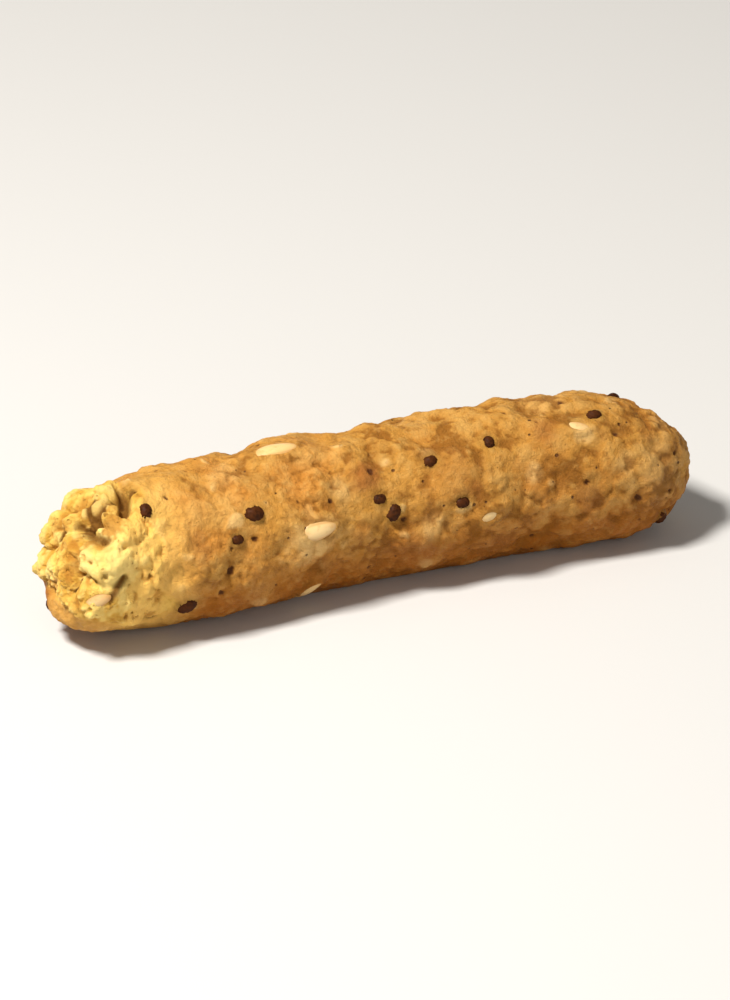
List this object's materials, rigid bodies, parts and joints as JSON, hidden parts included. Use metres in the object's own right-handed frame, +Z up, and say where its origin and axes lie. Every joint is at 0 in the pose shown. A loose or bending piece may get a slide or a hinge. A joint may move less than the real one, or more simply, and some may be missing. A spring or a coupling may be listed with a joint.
{
  "type": "sesame stick",
  "caption": "Short fried dough stick with sesame and poppy seeds in its crust, torn open to pale crumb at one end.",
  "frame": {"origin": "under the middle of the stick, on the surface that it lies on", "axes": "+X from the torn end to the whole end, +Z up, -Y towards the side that the picture shows"},
  "size_m": [0.0383, 0.0095, 0.0088],
  "materials": {
    "crust": "matte",
    "sesame_seed": "satin",
    "poppy_seed": "matte"
  },
  "bodies": {
    "root": {"sesame_stick": "crust"}
  },
  "joints": []
}
